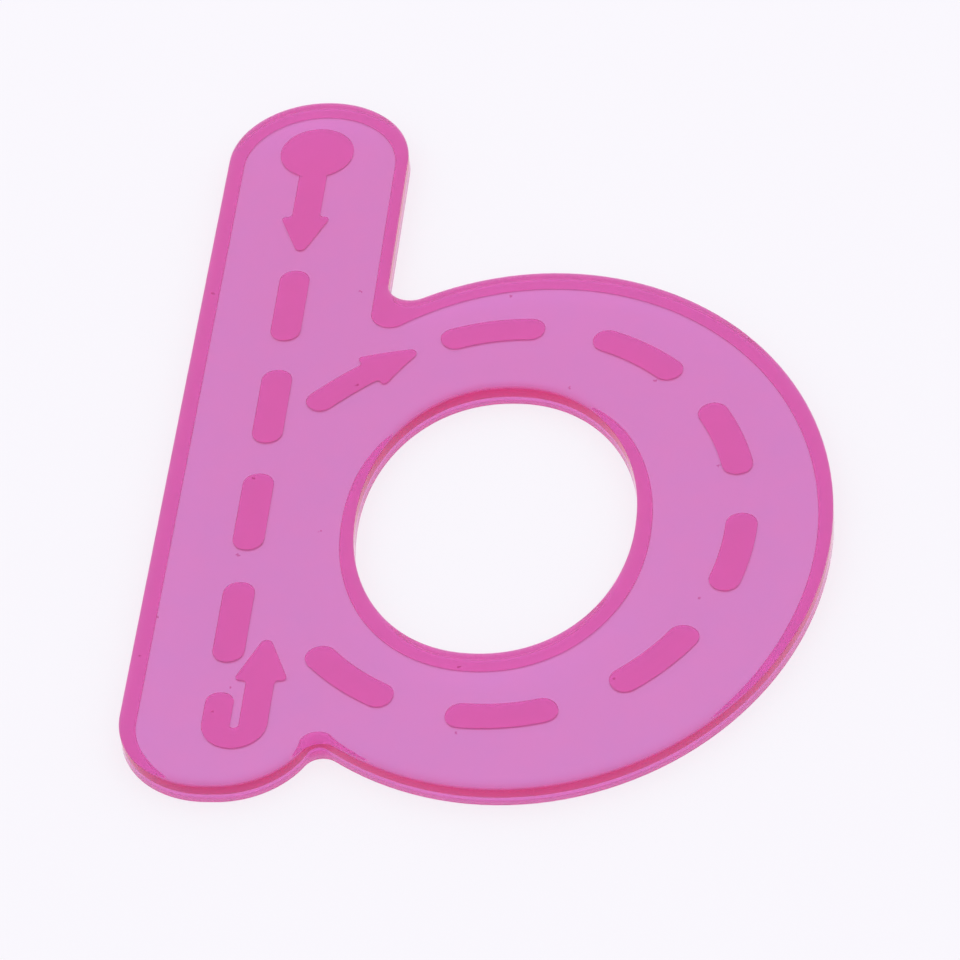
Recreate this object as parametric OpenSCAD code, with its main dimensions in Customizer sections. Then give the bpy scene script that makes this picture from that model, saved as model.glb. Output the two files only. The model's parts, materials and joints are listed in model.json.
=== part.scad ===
// Tracing guide for handwriting practice: the lower case letter b as one clear plastic moulding.
// The top face is flat. The rims and the guide marks stand out of the underside, so the letter
// lies on its rims and the marks show through the plate from above.
// Millimetres. The drawing is made from the stem's centre line and the foot of the letter, and is
// then moved so that the origin is in the middle of the footprint, on the surface that it lies on.

/* [Letter] */
// Height of the letter, from the foot to the top of the stem
letter_h = 120; // [112:0.5:135]
// Width of the letter over the stem and the bowl
letter_w = 79.7; // [77:0.1:84]
// Width of the upright stem
stem_w = 23.1; // [20:0.1:24]
// Corner radius at the foot of the stem
foot_r = 11; // [8:0.1:11.5]
// Width of the oval bowl
bowl_w = 71.9; // [68:0.1:76]
// Height of the oval bowl
bowl_h = 86.6; // [82:0.1:92]
// Fillet where the top of the bowl meets the stem
crotch_r = 3; // [1.5:0.1:9]
// Fillet in the notch between the foot of the stem and the bowl
notch_r = 2.3; // [1:0.1:6]

/* [Counter] */
// Width of the oval opening in the bowl
counter_w = 33.2; // [26:0.1:35]
// Height of the oval opening in the bowl
counter_h = 44.5; // [36:0.1:48]
// Width of the bowl's stroke beside the opening, at its right
stroke_w = 23; // [21:0.1:24.5]
// Fullness of the opening's corners: 2 is a true oval, more is squarer
counter_fullness = 2.1; // [2:0.05:2.5]

/* [Section] */
// Thickness over the plate and the relief under it
thickness = 3; // [2.4:0.1:4]
// Height of the rims and marks under the plate
relief_h = 0.35; // [0.25:0.05:1]
// Width of the rims
rim_w = 1.8; // [1:0.05:2.5]
// Fillet of the rim's inner edge where the top of the bowl meets the stem
rim_crotch_r = 2.5; // [2:0.1:11]
// Fillet of the rim's inner edge at the notch
rim_notch_r = 2.2; // [1.5:0.1:8]

/* [Guide track] */
// Distance of the track to the left of the stem's centre line
track_left = 0.6; // [0:0.1:1.5]
// Amount by which the track's oval is narrower than the bowl, at each side
track_in_x = 8.05; // [7:0.05:9]
// Amount by which the track's oval is lower than the bowl, at each end
track_in_y = 10.75; // [10:0.05:12]
// Distance of the track's oval to the left of the bowl's centre
oval_left = 2.65; // [2:0.05:3.5]
// Distance of the track's oval above the bowl's centre
oval_up = 1.55; // [0.5:0.05:2.5]

/* [Dashes] */
// Length of a dash along the track
dash_l = 12.9; // [10:0.1:14]
// Width of a dash
dash_w = 3.75; // [3:0.1:4.2]
// Corner radius of a dash
dash_corner_r = 1.8; // [0.5:0.1:1.8]
// Distance of the first stem dash below the top of the letter
first_dash_drop = 38.15; // [36:0.05:40]
// Height of the last stem dash above the foot of the letter
last_dash_y = 26.95; // [26.5:0.05:29]
// Distance of the first bowl dash to the right of the stem's track
first_bowl_dash_x = 25.75; // [24.5:0.05:27]
// Distance of the last bowl dash to the right of the stem's track
last_bowl_dash_x = 14.25; // [13:0.05:16]
// Places of the bowl dashes on the way from the first one, 0, to the last one, 1
bowl_dash_places = [0, 0.1745, 0.335, 0.49, 0.649, 0.823, 1]; // [0:0.001:1]

/* [Arrows] */
// Diameter of the start dot
dot_d = 9.4; // [7:0.1:10.4]
// Distance of the dot's centre below the top of the letter
dot_drop = 8.85; // [8:0.05:10]
// Width of the straight shafts
shaft_w = 3.55; // [2.5:0.05:4]
// Width of an arrow head at its base, before rounding
head_w = 6.4; // [5.2:0.1:6.6]
// Length of an arrow head, before rounding
head_l = 7.6; // [6:0.1:8]
// Radius of an arrow head's tip
tip_r = 0.75; // [0.3:0.05:1]
// Radius of an arrow head's other corners
shoulder_r = 0.5; // [0.2:0.05:0.8]
// Distance of the start arrow's head below the top of the letter
start_head_drop = 21.4; // [20:0.1:23]

/* [Hook arrow] */
// Width of the hook's stroke
hook_w = 3.3; // [2.6:0.05:3.6]
// Distance between the centre lines of the hook's two legs
hook_pitch = 4.3; // [4.1:0.05:4.6]
// Height of the hook's lowest edge above the foot of the letter
hook_low = 7; // [6:0.1:8]
// Thickness of the hook's turn at its lowest place
hook_turn = 3.1; // [2.6:0.05:3.6]
// Height of the short leg's end above the foot of the letter
short_leg_y = 15.65; // [14:0.05:17]
// Height of the hook arrow's head above the foot of the letter
hook_head_y = 17.6; // [17:0.05:18]

/* [Branch arrow] */
// Distance of the branch arrow's end to the right of the track
branch_right = 4.7; // [4.2:0.05:5.4]
// Distance of the branch arrow's end below the place where the bowl meets the stem's side
branch_down = 15.55; // [14.5:0.05:16.5]
// Direction of the branch arrow where it leaves the stem, in degrees above level
branch_angle = 49.5; // [45:0.5:54]
// Length of the branch arrow's shaft
branch_l = 9.3; // [8:0.1:10]
// Radius of the branch arrow's bend
branch_bend_r = 50; // [40:1:90]

/* [Hidden] */

stem_dash_count = 4;
plate_color = "#d481bf";
relief_color = "#d55fa9";
// Angle between neighbouring points of an outline's arcs, in degrees
outline_step = 2.5;
// Angle between neighbouring points of a mark's arcs, in degrees
mark_step = 15;
// Angle between neighbouring points of the letter's fillets, in degrees
fillet_step = 10;
// Length between neighbouring points along a mark's bent side
bend_step = 1.1;
// Sides of the start dot in the preview
dot_sides = 96;
// Roundness of a leg's end or turn, where 1 would be a full half circle
leg_round = 0.95;
turn_round = 0.999;

plate_t = thickness - relief_h;
stem_half = stem_w / 2;
foot_round = min(foot_r, stem_half);
foot_centre = [stem_half - foot_round, foot_round];
top_centre = [0, letter_h - stem_half];
right_x = letter_w - stem_half;
bowl_half = [bowl_w / 2, bowl_h / 2];
bowl_centre = [right_x - bowl_half.x, bowl_half.y];
counter_half = [counter_w / 2, counter_h / 2];
counter_centre = [right_x - stroke_w - counter_half.x, bowl_centre.y];
track_x = -track_left;
oval_half = [bowl_half.x - track_in_x, bowl_half.y - track_in_y];
oval_centre = [bowl_centre.x - oval_left, bowl_centre.y + oval_up];
dash_round = min(dash_corner_r, dash_w / 2);
meeting_x = (stem_half - bowl_centre.x) / bowl_half.x;
meeting_y = bowl_centre.y + bowl_half.y * sqrt(1 - meeting_x * meeting_x);
stem_pitch = (letter_h - first_dash_drop - last_dash_y) / (stem_dash_count - 1);
middle = [(right_x - stem_half) / 2, letter_h / 2];

// Plain geometry

function unit(v) = v / norm(v);

function arc(centre, r, from, to, step) =
    let (n = max(1, ceil(abs(to - from) / step)))
    [for (i = [0:n]) let (a = from + (to - from) * i / n) centre + r * [cos(a), sin(a)]];

// The place between lo and hi where the function f changes sign
function root(f, lo, hi, n = 40) =
    let (mid = (lo + hi) / 2)
    n == 0 ? mid : f(lo) * f(mid) <= 0 ? root(f, lo, mid, n - 1) : root(f, mid, hi, n - 1);

// Outward direction of an oval at the angle t
function oval_normal(half, fullness, t) =
    let (c = cos(t), s = sin(t), p = 2 - 2 / fullness)
    unit([sign(c) * pow(abs(c), p) / half.x, sign(s) * pow(abs(s), p) / half.y]);

// Point of an oval at the angle t, moved out of the oval by out
function oval_point(centre, half, fullness, t, out = 0) =
    let (c = cos(t), s = sin(t), p = 2 / fullness)
    centre + [half.x * sign(c) * pow(abs(c), p), half.y * sign(s) * pow(abs(s), p)]
    + out * oval_normal(half, fullness, t);

// Round one corner b between its neighbours a and c
function corner_arc(a, b, c, r) =
    let (u = unit(a - b), v = unit(c - b), half = acos(u * v) / 2,
         m = b + unit(u + v) * r / sin(half),
         p = b + u * r / tan(half) - m, q = b + v * r / tan(half) - m,
         from = atan2(p.y, p.x), sweep = (atan2(q.y, q.x) - from + 540) % 360 - 180)
    arc(m, r, from, from + sweep, mark_step);

// A closed shape from corners given as [x, y, corner radius]
function rounded(corners) =
    let (n = len(corners), xy = [for (k = corners) [k.x, k.y]])
    [for (i = [0:n - 1]) each corner_arc(xy[(i + n - 1) % n], xy[i], xy[(i + 1) % n], corners[i].z)];

// The same shape with points added along its sides
function refined(points, step) =
    let (count = len(points))
    [for (i = [0:count - 1])
        let (a = points[i], b = points[(i + 1) % count], n = max(1, ceil(norm(b - a) / step)))
        for (j = [0:n - 1]) a + (b - a) * j / n];

// A shape drawn along X, bent to the right round a circle of radius r
function bent(points, r) =
    [for (p = refined(points, bend_step))
        let (a = p.x / r * 180 / PI) [(r + p.y) * sin(a), (r + p.y) * cos(a) - r]];

// Outlines of the letter

function angle_of(v) = (atan2(v.y, v.x) + 360) % 360;

function bowl_point(t, out) = oval_point(bowl_centre, bowl_half, 2, t, out);

// The letter's outer edge moved inwards by inset, with its own two fillets
function letter_outline(inset, crotch, notch) =
    let (up = crotch - inset, low = notch - inset,
         crotch_t = root(function(t) bowl_point(t, up).x - stem_half - up, 90, 180),
         notch_t = root(function(t) norm(bowl_point(t, low) - foot_centre) - foot_round - low, 225, 270),
         crotch_centre = bowl_point(crotch_t, up), notch_centre = bowl_point(notch_t, low),
         crotch_from = angle_of(-oval_normal(bowl_half, 2, crotch_t)),
         notch_to = angle_of(-oval_normal(bowl_half, 2, notch_t)),
         foot_end = angle_of(notch_centre - foot_centre), left_foot = [-foot_centre.x, foot_centre.y],
         first = ceil(notch_t / outline_step), last = floor((crotch_t + 360) / outline_step))
    concat(
        arc(left_foot, foot_round - inset, 180, 270, outline_step),
        arc(foot_centre, foot_round - inset, 270, foot_end, outline_step),
        arc(notch_centre, notch, foot_end - 180, notch_to, fillet_step),
        [for (i = [first:last]) bowl_point(i * outline_step, -inset)],
        arc(crotch_centre, crotch, crotch_from, 180, fillet_step),
        arc(top_centre, stem_half - inset, 0, 180, outline_step)
    );

// The counter's edge, moved outwards into the plate by out
function counter_outline(out) =
    [for (t = [0:outline_step:360 - outline_step])
        oval_point(counter_centre, counter_half, counter_fullness, t, out)];

// Shapes of the marks, drawn along X from the origin

function dash_shape() =
    let (x = dash_l / 2, y = dash_w / 2, r = dash_round)
    rounded([[-x, -y, r], [x, -y, r], [x, y, r], [-x, y, r]]);

function arrow_shape(shaft_l, end_r) =
    let (y = shaft_w / 2)
    rounded([[0, -y, end_r], [shaft_l, -y, shoulder_r], [shaft_l, -head_w / 2, shoulder_r],
             [shaft_l + head_l, 0, tip_r], [shaft_l, head_w / 2, shoulder_r],
             [shaft_l, y, shoulder_r], [0, y, end_r]]);

// The hook, drawn upright from the short leg's centre line and the foot of the letter
function hook_shape() =
    let (y = hook_w / 2, far = hook_pitch, turn_r = (hook_pitch + hook_w) / 2,
         gap_r = (hook_pitch - hook_w) / 2, leg_r = y * leg_round, inner_y = hook_low + hook_turn)
    rounded([[-y, short_leg_y, leg_r], [-y, hook_low, turn_r * turn_round],
             [far + y, hook_low, turn_r * turn_round], [far + y, hook_head_y, shoulder_r],
             [far + head_w / 2, hook_head_y, shoulder_r], [far, hook_head_y + head_l, tip_r],
             [far - head_w / 2, hook_head_y, shoulder_r], [far - y, hook_head_y, shoulder_r],
             [far - y, inner_y, gap_r * leg_round], [y, inner_y, gap_r * leg_round],
             [y, short_leg_y, leg_r]]);

// Solids

module in_place() {
    translate([-middle.x, -middle.y, 0]) children();
}

module relief(points) {
    color(relief_color) linear_extrude(relief_h) polygon(points);
}

module base_plate() {
    color(plate_color) in_place() translate([0, 0, relief_h]) linear_extrude(plate_t)
        difference() {
            polygon(letter_outline(0, crotch_r, notch_r));
            polygon(counter_outline(0));
        }
}

module rim(outer, inner) {
    color(relief_color) in_place() linear_extrude(relief_h)
        difference() {
            polygon(outer);
            polygon(inner);
        }
}

module outer_rim() {
    rim(letter_outline(0, crotch_r, notch_r), letter_outline(rim_w, rim_crotch_r, rim_notch_r));
}

module counter_rim() {
    rim(counter_outline(rim_w), counter_outline(0));
}

module start_dot() {
    color(relief_color) in_place() translate([track_x, letter_h - dot_drop, 0])
        cylinder(h = relief_h, d = dot_d, $fn = dot_sides);
}

// The arrow's shaft starts at the dot's centre, and the dot's own disc is cut out of it
module start_arrow() {
    color(relief_color) in_place() translate([track_x, letter_h - dot_drop, 0])
        linear_extrude(relief_h) difference() {
            rotate([0, 0, -90]) polygon(arrow_shape(start_head_drop - dot_drop, shoulder_r));
            circle(d = dot_d, $fn = dot_sides);
        }
}

module stem_dash(i) {
    in_place() translate([track_x, letter_h - first_dash_drop - (i - 1) * stem_pitch, 0])
        rotate([0, 0, -90]) relief(dash_shape());
}

module hook_arrow() {
    in_place() translate([track_x, 0, 0]) relief(hook_shape());
}

module branch_arrow() {
    in_place() translate([track_x + branch_right, meeting_y - branch_down, 0]) rotate([0, 0, branch_angle])
        relief(bent(arrow_shape(branch_l, shaft_w / 2 * leg_round), branch_bend_r));
}

// Angle round the track's oval at which it lies x to the right of the stem's track
function oval_angle(x) = acos((track_x + x - oval_centre.x) / oval_half.x);

// A dash bends with the oval: its bend radius is the oval's own where the dash lies
module bowl_dash(i) {
    t_first = oval_angle(first_bowl_dash_x);
    t_last = -oval_angle(last_bowl_dash_x);
    t = t_first + (t_last - t_first) * bowl_dash_places[i - 1];
    along = [oval_half.x * sin(t), -oval_half.y * cos(t)];
    bend_r = pow(norm(along), 3) / (oval_half.x * oval_half.y);
    in_place() translate(oval_point(oval_centre, oval_half, 2, t)) rotate([0, 0, atan2(along.y, along.x)])
        relief(bent(dash_shape(), bend_r));
}

base_plate();
outer_rim();
counter_rim();
start_dot();
start_arrow();
for (i = [1:stem_dash_count])
    stem_dash(i);
hook_arrow();
branch_arrow();
for (i = [1:len(bowl_dash_places)])
    bowl_dash(i);
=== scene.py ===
# Looks of the tracing letter: one clear dyed plastic moulding lying on a pale table.
import json
import math
import bpy
from mathutils import Matrix, Vector

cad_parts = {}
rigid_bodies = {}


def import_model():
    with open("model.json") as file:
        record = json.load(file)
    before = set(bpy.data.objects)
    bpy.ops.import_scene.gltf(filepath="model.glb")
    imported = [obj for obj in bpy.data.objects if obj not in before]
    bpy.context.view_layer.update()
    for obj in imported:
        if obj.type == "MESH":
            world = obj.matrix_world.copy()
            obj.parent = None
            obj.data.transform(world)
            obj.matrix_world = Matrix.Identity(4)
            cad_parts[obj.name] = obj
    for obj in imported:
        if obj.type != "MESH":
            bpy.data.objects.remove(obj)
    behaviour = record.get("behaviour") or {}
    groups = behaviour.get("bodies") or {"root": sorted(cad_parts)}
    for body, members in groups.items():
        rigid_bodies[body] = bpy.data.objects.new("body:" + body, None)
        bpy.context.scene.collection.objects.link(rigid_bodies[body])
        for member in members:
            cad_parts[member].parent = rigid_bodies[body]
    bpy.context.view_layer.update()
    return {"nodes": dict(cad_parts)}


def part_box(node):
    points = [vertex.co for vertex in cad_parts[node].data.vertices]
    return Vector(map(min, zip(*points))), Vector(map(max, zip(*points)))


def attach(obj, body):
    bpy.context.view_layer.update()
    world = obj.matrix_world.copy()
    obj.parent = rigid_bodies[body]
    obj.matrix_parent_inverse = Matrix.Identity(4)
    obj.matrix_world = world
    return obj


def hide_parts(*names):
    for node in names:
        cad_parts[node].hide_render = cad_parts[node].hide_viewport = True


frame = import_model()

MM = 0.001

# Heights that the pieces share with the solids
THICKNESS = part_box("base_plate")[1].z
RELIEF_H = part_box("outer_rim")[1].z
# Depth of the shallow seats that keep the plate and its relief from sharing a face
SEAT = 0.02 * MM
# Soft rounding of the plate's top edges: how far it reaches in and how far down
TOP_ROUND = 1.2 * MM
TOP_DROP = 0.45 * MM
# Rounding of the lower edges of the marks and of the rims
MARK_ROUND = 0.08 * MM
RIM_ROUND = 0.25 * MM
# Faces along each rounding
TOP_STEPS = 8
LOWER_STEPS = 3
# Corners closer than the first become one, faces that meet at less than the second become one, and
# edges sharper than the third stay sharp
MERGE_REACH = 0.002 * MM
FLAT_ANGLE = math.radians(0.3)
CREASE_ANGLE = math.radians(35)

RIMS = ["outer_rim", "counter_rim"]
STEM_DASHES = ["stem_dash_%d" % i for i in range(1, 5)]
BOWL_DASHES = ["bowl_dash_%d" % i for i in range(1, 8)]
# The relief's pieces: the start dot and its arrow run into each other, so they are one piece here
RELIEF = [[node] for node in RIMS + STEM_DASHES + BOWL_DASHES + ["hook_arrow", "branch_arrow"]]
RELIEF.append(["start_dot", "start_arrow"])


# Camera


# How far the camera looks down from level, and how it is rolled and turned, in degrees
CAMERA_TILT = 43.429
CAMERA_ROLL = -6.607
CAMERA_TURN = -9.785
# Where the lens stands, and the middle of the letter in the same measure
LENS_PLACE = Vector((0.096406, -0.357666, 0.393860))
LETTER_MIDDLE = Vector((0.0283, 0.060, 0.0))
# Length of the lens and width of the picture, both in pixels, and the width of the sensor in mm
LENS_PIXELS = 4807.977
PICTURE_PIXELS = 960
SENSOR_WIDTH = 36


def place_camera():
    """Put the camera where the photograph was taken from."""
    place = LENS_PLACE - LETTER_MIDDLE
    tilt = math.radians(CAMERA_TILT)
    roll = math.radians(CAMERA_ROLL)
    turn = math.radians(CAMERA_TURN)
    level = Vector((1, 0, 0))
    rise = Vector((0, math.sin(tilt), math.cos(tilt)))
    right = math.cos(roll) * level + math.sin(roll) * rise
    up = -math.sin(roll) * level + math.cos(roll) * rise
    spin = Matrix.Rotation(-turn, 3, "Z")
    right = spin @ right
    up = spin @ up
    back = right.cross(up)
    data = bpy.data.cameras.new("camera")
    data.sensor_width = SENSOR_WIDTH
    data.lens = LENS_PIXELS / PICTURE_PIXELS * SENSOR_WIDTH
    data.clip_start = 0.01
    camera = bpy.data.objects.new("camera", data)
    bpy.context.collection.objects.link(camera)
    camera.matrix_world = Matrix(((right.x, up.x, back.x, place.x),
                                  (right.y, up.y, back.y, place.y),
                                  (right.z, up.z, back.z, place.z),
                                  (0, 0, 0, 1)))
    bpy.context.scene.camera = camera


# Materials


def linear(code):
    """Colour of an sRGB hex code, as Blender counts light."""
    parts = [int(code[i:i + 2], 16) / 255 for i in (1, 3, 5)]
    return tuple(c / 12.92 if c <= 0.04045 else ((c + 0.055) / 1.055) ** 2.4 for c in parts) + (1.0,)


# Patches in which the dye flowed a little thicker or thinner
FLOW_SIZE = 7 * MM
# Faint rubbing of the glossy skin from handling
SCUFF_SIZE = 2.5 * MM
# Grain of the eroded mould: really 0.05 mm, drawn coarser so that it shows
GRAIN_SIZE = 0.4 * MM
# Flecks: how wide, how far apart at most, and the share of places that hold one
FLECK_SIZE = 0.5 * MM
FLECK_SPACING = 9 * MM
FLECK_SHARE = 0.3
FLECK_TINT = linear("#c88fae")
# Colour that the dye lets through and how much of it there is
DYE = linear("#fd59e3")
DYE_DENSITY = 472
# How matt the field and the relief are under the letter, and the share of it where the grain is finest
FIELD_ROUGHNESS = 0.5
RELIEF_ROUGHNESS = 0.9
GRAIN_FINEST = 0.93
GRAIN_BUMP = 0.15
# Roughness of the polished skin, untouched and rubbed
GLOSS_ROUGHNESS = (0.02, 0.06)
ACRYLIC_IOR = 1.49
# What each outer face takes from the light that crosses it: the skin, and the matt field and relief
SKIN = linear("#f0ffff")
FIELD_TINTS = (linear("#d4fff4"), linear("#dcfef1"))
RELIEF_TINTS = (linear("#e9a3d8"), linear("#eda6db"))


def socket_of(sockets, name):
    """The socket of that place or name which is in use."""
    if isinstance(name, int):
        return sockets[name]
    return next(each for each in sockets if each.name == name and each.enabled)


def add_node(tree, kind, settings=None, links=None):
    """A node with its settings and its links, each given by input name or place."""
    node = tree.nodes.new(kind)
    for name, value in (settings or {}).items():
        if isinstance(name, int) or name in node.inputs:
            socket_of(node.inputs, name).default_value = value
        else:
            setattr(node, name, value)
    for name, source in (links or {}).items():
        tree.links.new(source, socket_of(node.inputs, name))
    return node


def new_tree(name):
    material = bpy.data.materials.new(name)
    material.use_nodes = True
    tree = material.node_tree
    tree.nodes.clear()
    return material, tree


def height_band(tree, height, low, high):
    """1 where the height lies between low and high, 0 elsewhere."""
    middle = (low + high) / 2
    return add_node(tree, "ShaderNodeMath", {"operation": "COMPARE", 1: middle, 2: (high - low) / 2},
                    {0: height}).outputs[0]


def cloud(tree, place, size, detail, low, high):
    """Soft variation from low to high, with patches of about the given size."""
    noise = add_node(tree, "ShaderNodeTexNoise", {"Scale": 1 / size, "Detail": detail, "Roughness": 0.6},
                     {"Vector": place})
    return add_node(tree, "ShaderNodeMapRange",
                    {"From Min": 0.3, "From Max": 0.7, "To Min": low, "To Max": high},
                    {"Value": noise.outputs[0]}).outputs[0]


def blend_colours(tree, factor, a, b):
    """Mix of two colours, each a value or a socket."""
    values = {name: each for name, each in (("A", a), ("B", b)) if isinstance(each, tuple)}
    links = {name: each for name, each in (("A", a), ("B", b)) if not isinstance(each, tuple)}
    mix = add_node(tree, "ShaderNodeMix", {"data_type": "RGBA", **values}, {"Factor": factor, **links})
    return socket_of(mix.outputs, "Result")


def flecks(tree, place):
    """1 in the few tiny flecks of lint and dye that lie in the top skin, 0 elsewhere."""
    noise = add_node(tree, "ShaderNodeTexNoise", {"Scale": 1 / FLECK_SIZE, "Detail": 1.0},
                     {"Vector": place})
    wander = add_node(tree, "ShaderNodeVectorMath", {"operation": "SCALE", "Scale": FLECK_SIZE * 1.5},
                      {0: noise.outputs["Color"]})
    bent = add_node(tree, "ShaderNodeVectorMath", {"operation": "ADD"}, {0: place, 1: wander.outputs[0]})
    cells = add_node(tree, "ShaderNodeTexVoronoi",
                     {"voronoi_dimensions": "2D", "Scale": 1 / FLECK_SPACING},
                     {"Vector": bent.outputs[0]})
    near = add_node(tree, "ShaderNodeMapRange",
                    {"interpolation_type": "SMOOTHSTEP",
                     "From Min": FLECK_SIZE / FLECK_SPACING / 2,
                     "From Max": FLECK_SIZE / FLECK_SPACING / 4},
                    {"Value": cells.outputs["Distance"]})
    chance = add_node(tree, "ShaderNodeSeparateColor", links={0: cells.outputs["Color"]})
    chosen = add_node(tree, "ShaderNodeMath", {"operation": "GREATER_THAN", 1: 1 - FLECK_SHARE},
                      {0: chance.outputs[0]})
    return add_node(tree, "ShaderNodeMath", {"operation": "MULTIPLY"},
                    {0: near.outputs[0], 1: chosen.outputs[0]}).outputs[0]


def dyed_acrylic(name, joined, matt, matt_tints, matt_roughness):
    """Clear acrylic dyed pink, injection moulded: deep gloss where the mould was polished, so that the
    eye sees through it, and a fine spark-eroded grain on the matt band, which glows evenly.

    The joined band is the face where plate and relief are one plastic, so light goes straight on.
    """
    material, tree = new_tree(name)
    place = add_node(tree, "ShaderNodeTexCoord").outputs["Object"]
    height = add_node(tree, "ShaderNodeSeparateXYZ", links={0: place}).outputs["Z"]
    at_joint = height_band(tree, height, *joined)
    at_matt = height_band(tree, height, *matt)
    gloss = cloud(tree, place, SCUFF_SIZE, 6.0, *GLOSS_ROUGHNESS)
    grain = cloud(tree, place, GRAIN_SIZE, 2.0, GRAIN_FINEST * matt_roughness, matt_roughness)
    rough = add_node(tree, "ShaderNodeMix", {}, {"Factor": at_matt, "A": gloss, "B": grain})
    rough = add_node(tree, "ShaderNodeMix", {"B": 0.0}, {"Factor": at_joint, "A": rough.outputs[0]})
    ior = add_node(tree, "ShaderNodeMapRange", {"To Min": ACRYLIC_IOR, "To Max": 1.0},
                   {"Value": at_joint})
    skin = blend_colours(tree, flecks(tree, place), SKIN, FLECK_TINT)
    flow = cloud(tree, place, FLOW_SIZE, 3.0, 0.0, 1.0)
    tint = blend_colours(tree, at_matt, skin, blend_colours(tree, flow, *matt_tints))
    tint = blend_colours(tree, at_joint, tint, (1, 1, 1, 1))
    bump = add_node(tree, "ShaderNodeBump", {"Strength": GRAIN_BUMP, "Distance": GRAIN_SIZE / 20},
                    {"Height": grain})
    shader = add_node(tree, "ShaderNodeBsdfPrincipled", {"Transmission Weight": 1.0},
                      {"Base Color": tint, "Roughness": rough.outputs[0], "IOR": ior.outputs[0],
                       "Normal": bump.outputs[0]})
    inside = add_node(tree, "ShaderNodeVolumeAbsorption", {"Color": DYE, "Density": DYE_DENSITY})
    add_node(tree, "ShaderNodeOutputMaterial",
             links={"Surface": shader.outputs[0], "Volume": inside.outputs[0]})
    return material


# Pieces


def make_active(piece):
    """Select this piece alone."""
    for each in bpy.context.view_layer.objects:
        each.select_set(False)
    bpy.context.view_layer.objects.active = piece
    piece.select_set(True)


def open_mesh(piece, action):
    """Start editing a piece's mesh with all of it selected, or none."""
    make_active(piece)
    bpy.ops.object.mode_set(mode="EDIT")
    bpy.ops.mesh.select_all(action=action)


def close_mesh():
    bpy.ops.object.mode_set(mode="OBJECT")


def select_edges(piece, wanted):
    """Select the edges with these numbers in the mesh that is being edited."""
    bpy.ops.mesh.select_mode(type="EDGE")
    bpy.ops.object.mode_set(mode="OBJECT")
    mesh = piece.data
    for group in (mesh.vertices, mesh.edges, mesh.polygons):
        for part in group:
            part.select = False
    for edge in mesh.edges:
        edge.select = edge.index in wanted
    bpy.ops.object.mode_set(mode="EDIT")


def merged_copy(node, name):
    """A copy of a solid's mesh with its loose triangles joined and its flat faces made whole."""
    source = frame["nodes"][node]
    piece = bpy.data.objects.new(name, source.data.copy())
    piece.data.name = name
    piece.data.materials.clear()
    bpy.context.collection.objects.link(piece)
    open_mesh(piece, "SELECT")
    bpy.ops.mesh.remove_doubles(threshold=MERGE_REACH)
    bpy.ops.mesh.dissolve_limited(angle_limit=FLAT_ANGLE)
    close_mesh()
    bpy.ops.mesh.customdata_custom_splitnormals_clear()
    return piece


def border_edges(piece, level):
    """Numbers of the edges that lie wholly at one level, between a flat face there and a wall."""
    mesh = piece.data
    keys = {}
    for face in mesh.polygons:
        flat = abs(face.normal.z) > 0.7 and abs(face.center.z - level) < SEAT / 4
        for key in face.edge_keys:
            keys.setdefault(key, []).append(flat)
    borders = set()
    for edge in mesh.edges:
        ends = [mesh.vertices[i].co.z for i in edge.vertices]
        at_level = all(abs(z - level) < SEAT / 4 for z in ends)
        if at_level and sorted(keys.get(edge.key, [])) == [False, True]:
            borders.add(edge.index)
    return borders


def round_edges(piece, level, width, steps):
    """Round the edges at one level, where a flat face meets the walls."""
    borders = border_edges(piece, level)
    open_mesh(piece, "DESELECT")
    select_edges(piece, borders)
    bpy.ops.mesh.bevel(offset=width, offset_type="OFFSET", segments=steps, affect="EDGES",
                       clamp_overlap=False, loop_slide=False)
    close_mesh()


def stretch(piece, factors, centre):
    open_mesh(piece, "SELECT")
    bpy.ops.transform.resize(value=factors, center_override=centre)
    close_mesh()


def soft_edges(piece, level, reach, depth, steps):
    """Round the edges at one level by an oval: the piece is stretched, rounded and let back."""
    stretch(piece, (1, 1, reach / depth), (0, 0, level))
    round_edges(piece, level, reach, steps)
    stretch(piece, (1, 1, depth / reach), (0, 0, level))


def smooth(piece):
    """Shade the roundings as smooth and keep the flat faces flat."""
    make_active(piece)
    bpy.ops.object.shade_smooth_by_angle(angle=CREASE_ANGLE)
    weigh = piece.modifiers.new("weigh", "WEIGHTED_NORMAL")
    weigh.keep_sharp = True
    bpy.ops.object.modifier_apply(modifier="weigh")


def combine(piece, other, operation):
    """Cut the other mesh out of the piece, or join it on, and delete it."""
    make_active(piece)
    tool = piece.modifiers.new("combine", "BOOLEAN")
    tool.operation = operation
    tool.solver = "EXACT"
    tool.object = other
    bpy.ops.object.modifier_apply(modifier="combine")
    bpy.data.objects.remove(other)


def relief_copy(nodes, name):
    """Copy of a relief solid, or of two that run into each other, with no seam between them.

    The first of the two is grown by a hair, so that no wall of one lies in a wall of the other.
    """
    piece = merged_copy(nodes[0], name)
    for node in nodes[1:]:
        low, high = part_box(nodes[0])
        grow = 1 + 2 * SEAT / (high.x - low.x)
        stretch(piece, (grow, grow, 1), (low + high) / 2)
        combine(piece, merged_copy(node, "joined"), "UNION")
    return piece


def relief_piece(nodes, material):
    piece = relief_copy(nodes, "clear_" + "_and_".join(nodes))
    round_edges(piece, 0.0, RIM_ROUND if nodes[0] in RIMS else MARK_ROUND, LOWER_STEPS)
    piece.data.materials.clear()
    piece.data.materials.append(material)
    smooth(piece)
    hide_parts(*nodes)
    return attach(piece, "root")


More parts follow.
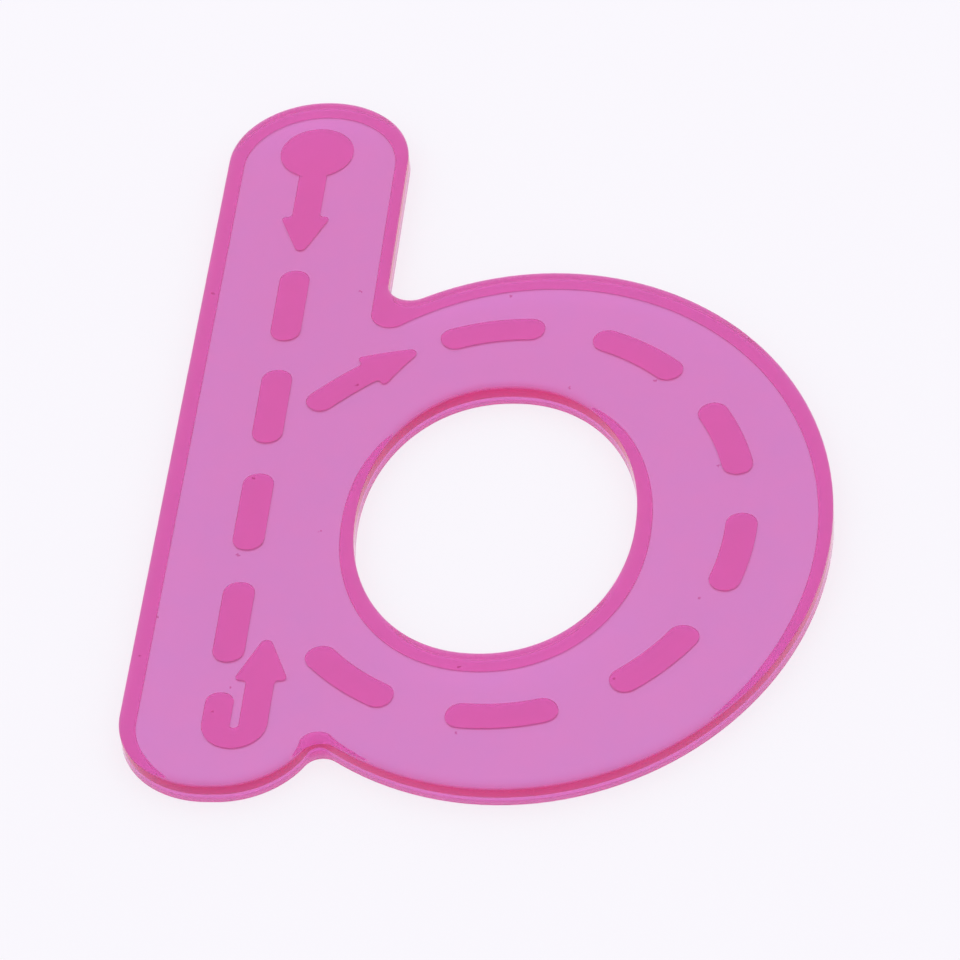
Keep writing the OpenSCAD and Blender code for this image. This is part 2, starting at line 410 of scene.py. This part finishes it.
def clear_plate(material):
    piece = merged_copy("base_plate", "clear_base_plate")
    soft_edges(piece, THICKNESS, TOP_ROUND, TOP_DROP, TOP_STEPS)
    # Shallow seats under which each relief piece lies
    for nodes in RELIEF:
        seat = relief_copy(nodes, "seat")
        open_mesh(seat, "SELECT")
        bpy.ops.transform.translate(value=(0, 0, SEAT))
        close_mesh()
        combine(piece, seat, "DIFFERENCE")
    piece.data.materials.clear()
    piece.data.materials.append(material)
    smooth(piece)
    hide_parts("base_plate")
    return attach(piece, "root")


place_camera()
plate_stuff = dyed_acrylic("dyed_acrylic_plate",
                           (RELIEF_H + SEAT / 2, RELIEF_H + SEAT * 1.5),
                           (RELIEF_H - SEAT / 2, RELIEF_H + SEAT / 2),
                           FIELD_TINTS, FIELD_ROUGHNESS)
relief_stuff = dyed_acrylic("dyed_acrylic_relief",
                            (RELIEF_H - SEAT / 2, RELIEF_H + SEAT / 2),
                            (-SEAT / 2, RELIEF_H - SEAT / 2),
                            RELIEF_TINTS, RELIEF_ROUGHNESS)
clear_plate(plate_stuff)
for nodes in RELIEF:
    relief_piece(nodes, relief_stuff)


# Table and light


# A grey that takes the letter's faint shadow and pink, and the even glow that makes the table white
TABLE_COLOUR = linear("#7c7c7e")
TABLE_GLOW = linear("#e0dde3")
# The table lies just clear of the letter, so that no two faces share a place
TABLE_GAP = 0.03 * MM
TABLE_WIDTH = 4
TABLE_CELLS = 40
# Light crosses the clear pieces many times before it is out again
CLEAR_BOUNCES = 64
TABLE_BOUNCES = 8


def table():
    """A matt white table top that the letter lies on."""
    bpy.ops.mesh.primitive_grid_add(x_subdivisions=TABLE_CELLS, y_subdivisions=TABLE_CELLS,
                                    size=TABLE_WIDTH, location=(0, 0, -TABLE_GAP))
    top = bpy.context.object
    top.name = "table_top"
    material, tree = new_tree("white_table")
    shader = add_node(tree, "ShaderNodeBsdfPrincipled",
                      {"Base Color": TABLE_COLOUR, "Roughness": 0.8, "Specular IOR Level": 0.2,
                       "Emission Color": TABLE_GLOW, "Emission Strength": 1.0})
    add_node(tree, "ShaderNodeOutputMaterial", links={"Surface": shader.outputs[0]})
    top.data.materials.append(material)


def studio():
    """Even white light from all sides."""
    world = bpy.data.worlds.new("white_tent")
    bpy.context.scene.world = world
    world.use_nodes = True
    tree = world.node_tree
    tree.nodes.clear()
    sky = add_node(tree, "ShaderNodeBackground", {"Color": (1, 1, 1, 1), "Strength": 1.0})
    add_node(tree, "ShaderNodeOutputWorld", links={"Surface": sky.outputs[0]})


table()
studio()
scene = bpy.context.scene
scene.view_settings.view_transform = "Standard"
scene.cycles.max_bounces = CLEAR_BOUNCES
scene.cycles.transmission_bounces = CLEAR_BOUNCES
scene.cycles.glossy_bounces = CLEAR_BOUNCES
scene.cycles.diffuse_bounces = TABLE_BOUNCES
scene.cycles.blur_glossy = 0.0
scene.cycles.sample_clamp_indirect = 0.0
scene.cycles.use_denoising = True
